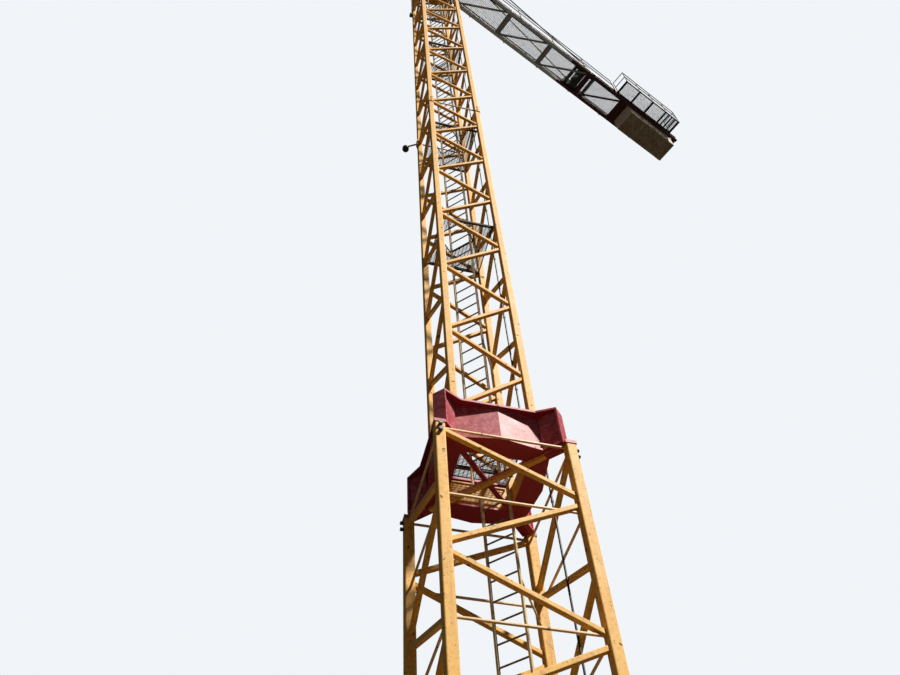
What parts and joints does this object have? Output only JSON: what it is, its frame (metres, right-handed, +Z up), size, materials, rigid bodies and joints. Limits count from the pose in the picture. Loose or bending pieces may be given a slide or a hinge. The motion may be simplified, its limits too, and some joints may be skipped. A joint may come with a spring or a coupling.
{
  "type": "tower crane scale model, half size",
  "caption": "Half-size tower crane: lattice mast in two widths with a red transition frame, slewing upper works, jib, counter-jib and counterweight.",
  "frame": {"origin": "centre of the base frame's bottom face, on the mast's axis at ground level", "axes": "+Z up along the mast, +X along the mast's front side to the right, +Y away from the front side"},
  "size_m": [26.7118, 11.6056, 22.6454],
  "materials": {
    "mast_paint": "satin paint, chipped and dusty",
    "frame_paint": "satin paint, faded on the sunny side",
    "galvanised_steel": "dull galvanised",
    "end_paint": "matt primer, dusty",
    "dark_steel": "matt, oiled",
    "concrete": "cast concrete",
    "black_rubber": "matt",
    "wire_rope": "greased wire",
    "cab_glazing": "clear",
    "cab_paint": "gloss",
    "winch_paint": "satin",
    "hook_paint": "worn paint"
  },
  "bodies": {
    "tower": {"base_frame": "mast_paint", "lower_posts": "mast_paint", "lower_brace_front": "mast_paint", "lower_brace_right": "mast_paint", "lower_brace_back": "mast_paint", "lower_brace_left": "mast_paint", "lower_ladder": "mast_paint", "post_pins": "dark_steel", "plan_brace": "mast_paint", "transition_frame": "frame_paint", "transition_deck": "galvanised_steel", "mast_foot_plates": "mast_paint", "upper_posts": "mast_paint", "upper_brace_front": "mast_paint", "upper_brace_right": "mast_paint", "upper_brace_back": "mast_paint", "upper_brace_left": "mast_paint", "section_sleeves": "mast_paint", "upper_ladder": "mast_paint", "rest_platforms": "galvanised_steel", "camera_arm": "galvanised_steel", "camera_dome": "black_rubber", "power_cable": "black_rubber", "junction_box": "black_rubber", "signal_cable": "black_rubber", "slewing_support": "mast_paint", "slewing_ring_fixed": "galvanised_steel"},
    "upper_works": {"slewing_ring_turning": "galvanised_steel", "turntable": "mast_paint", "slewing_motors": "galvanised_steel", "tower_head": "mast_paint", "head_cap": "mast_paint", "cab_shell": "cab_paint", "cab_glass": "cab_glazing", "jib_chords": "mast_paint", "jib_brace_left": "mast_paint", "jib_brace_right": "mast_paint", "jib_brace_floor": "mast_paint", "jib_tie_bars": "mast_paint", "counter_girders": "galvanised_steel", "end_girders": "end_paint", "counter_cross_beams": "galvanised_steel", "end_cross_beams": "end_paint", "counter_walkway": "galvanised_steel", "counter_handrails": "galvanised_steel", "counter_tie_bars": "mast_paint", "counterweight": "concrete", "service_platform": "dark_steel", "service_railing": "galvanised_steel", "hoist_winch": "winch_paint", "trolley": "galvanised_steel", "hook_block": "hook_paint", "hoist_rope": "wire_rope"}
  },
  "joints": [
    {"name": "slewing", "type": "hinge", "parent": "tower", "child": "upper_works", "pos_m": [0, 0, 18.4432], "axis": [0, 0, 1], "continuous": true}
  ]
}
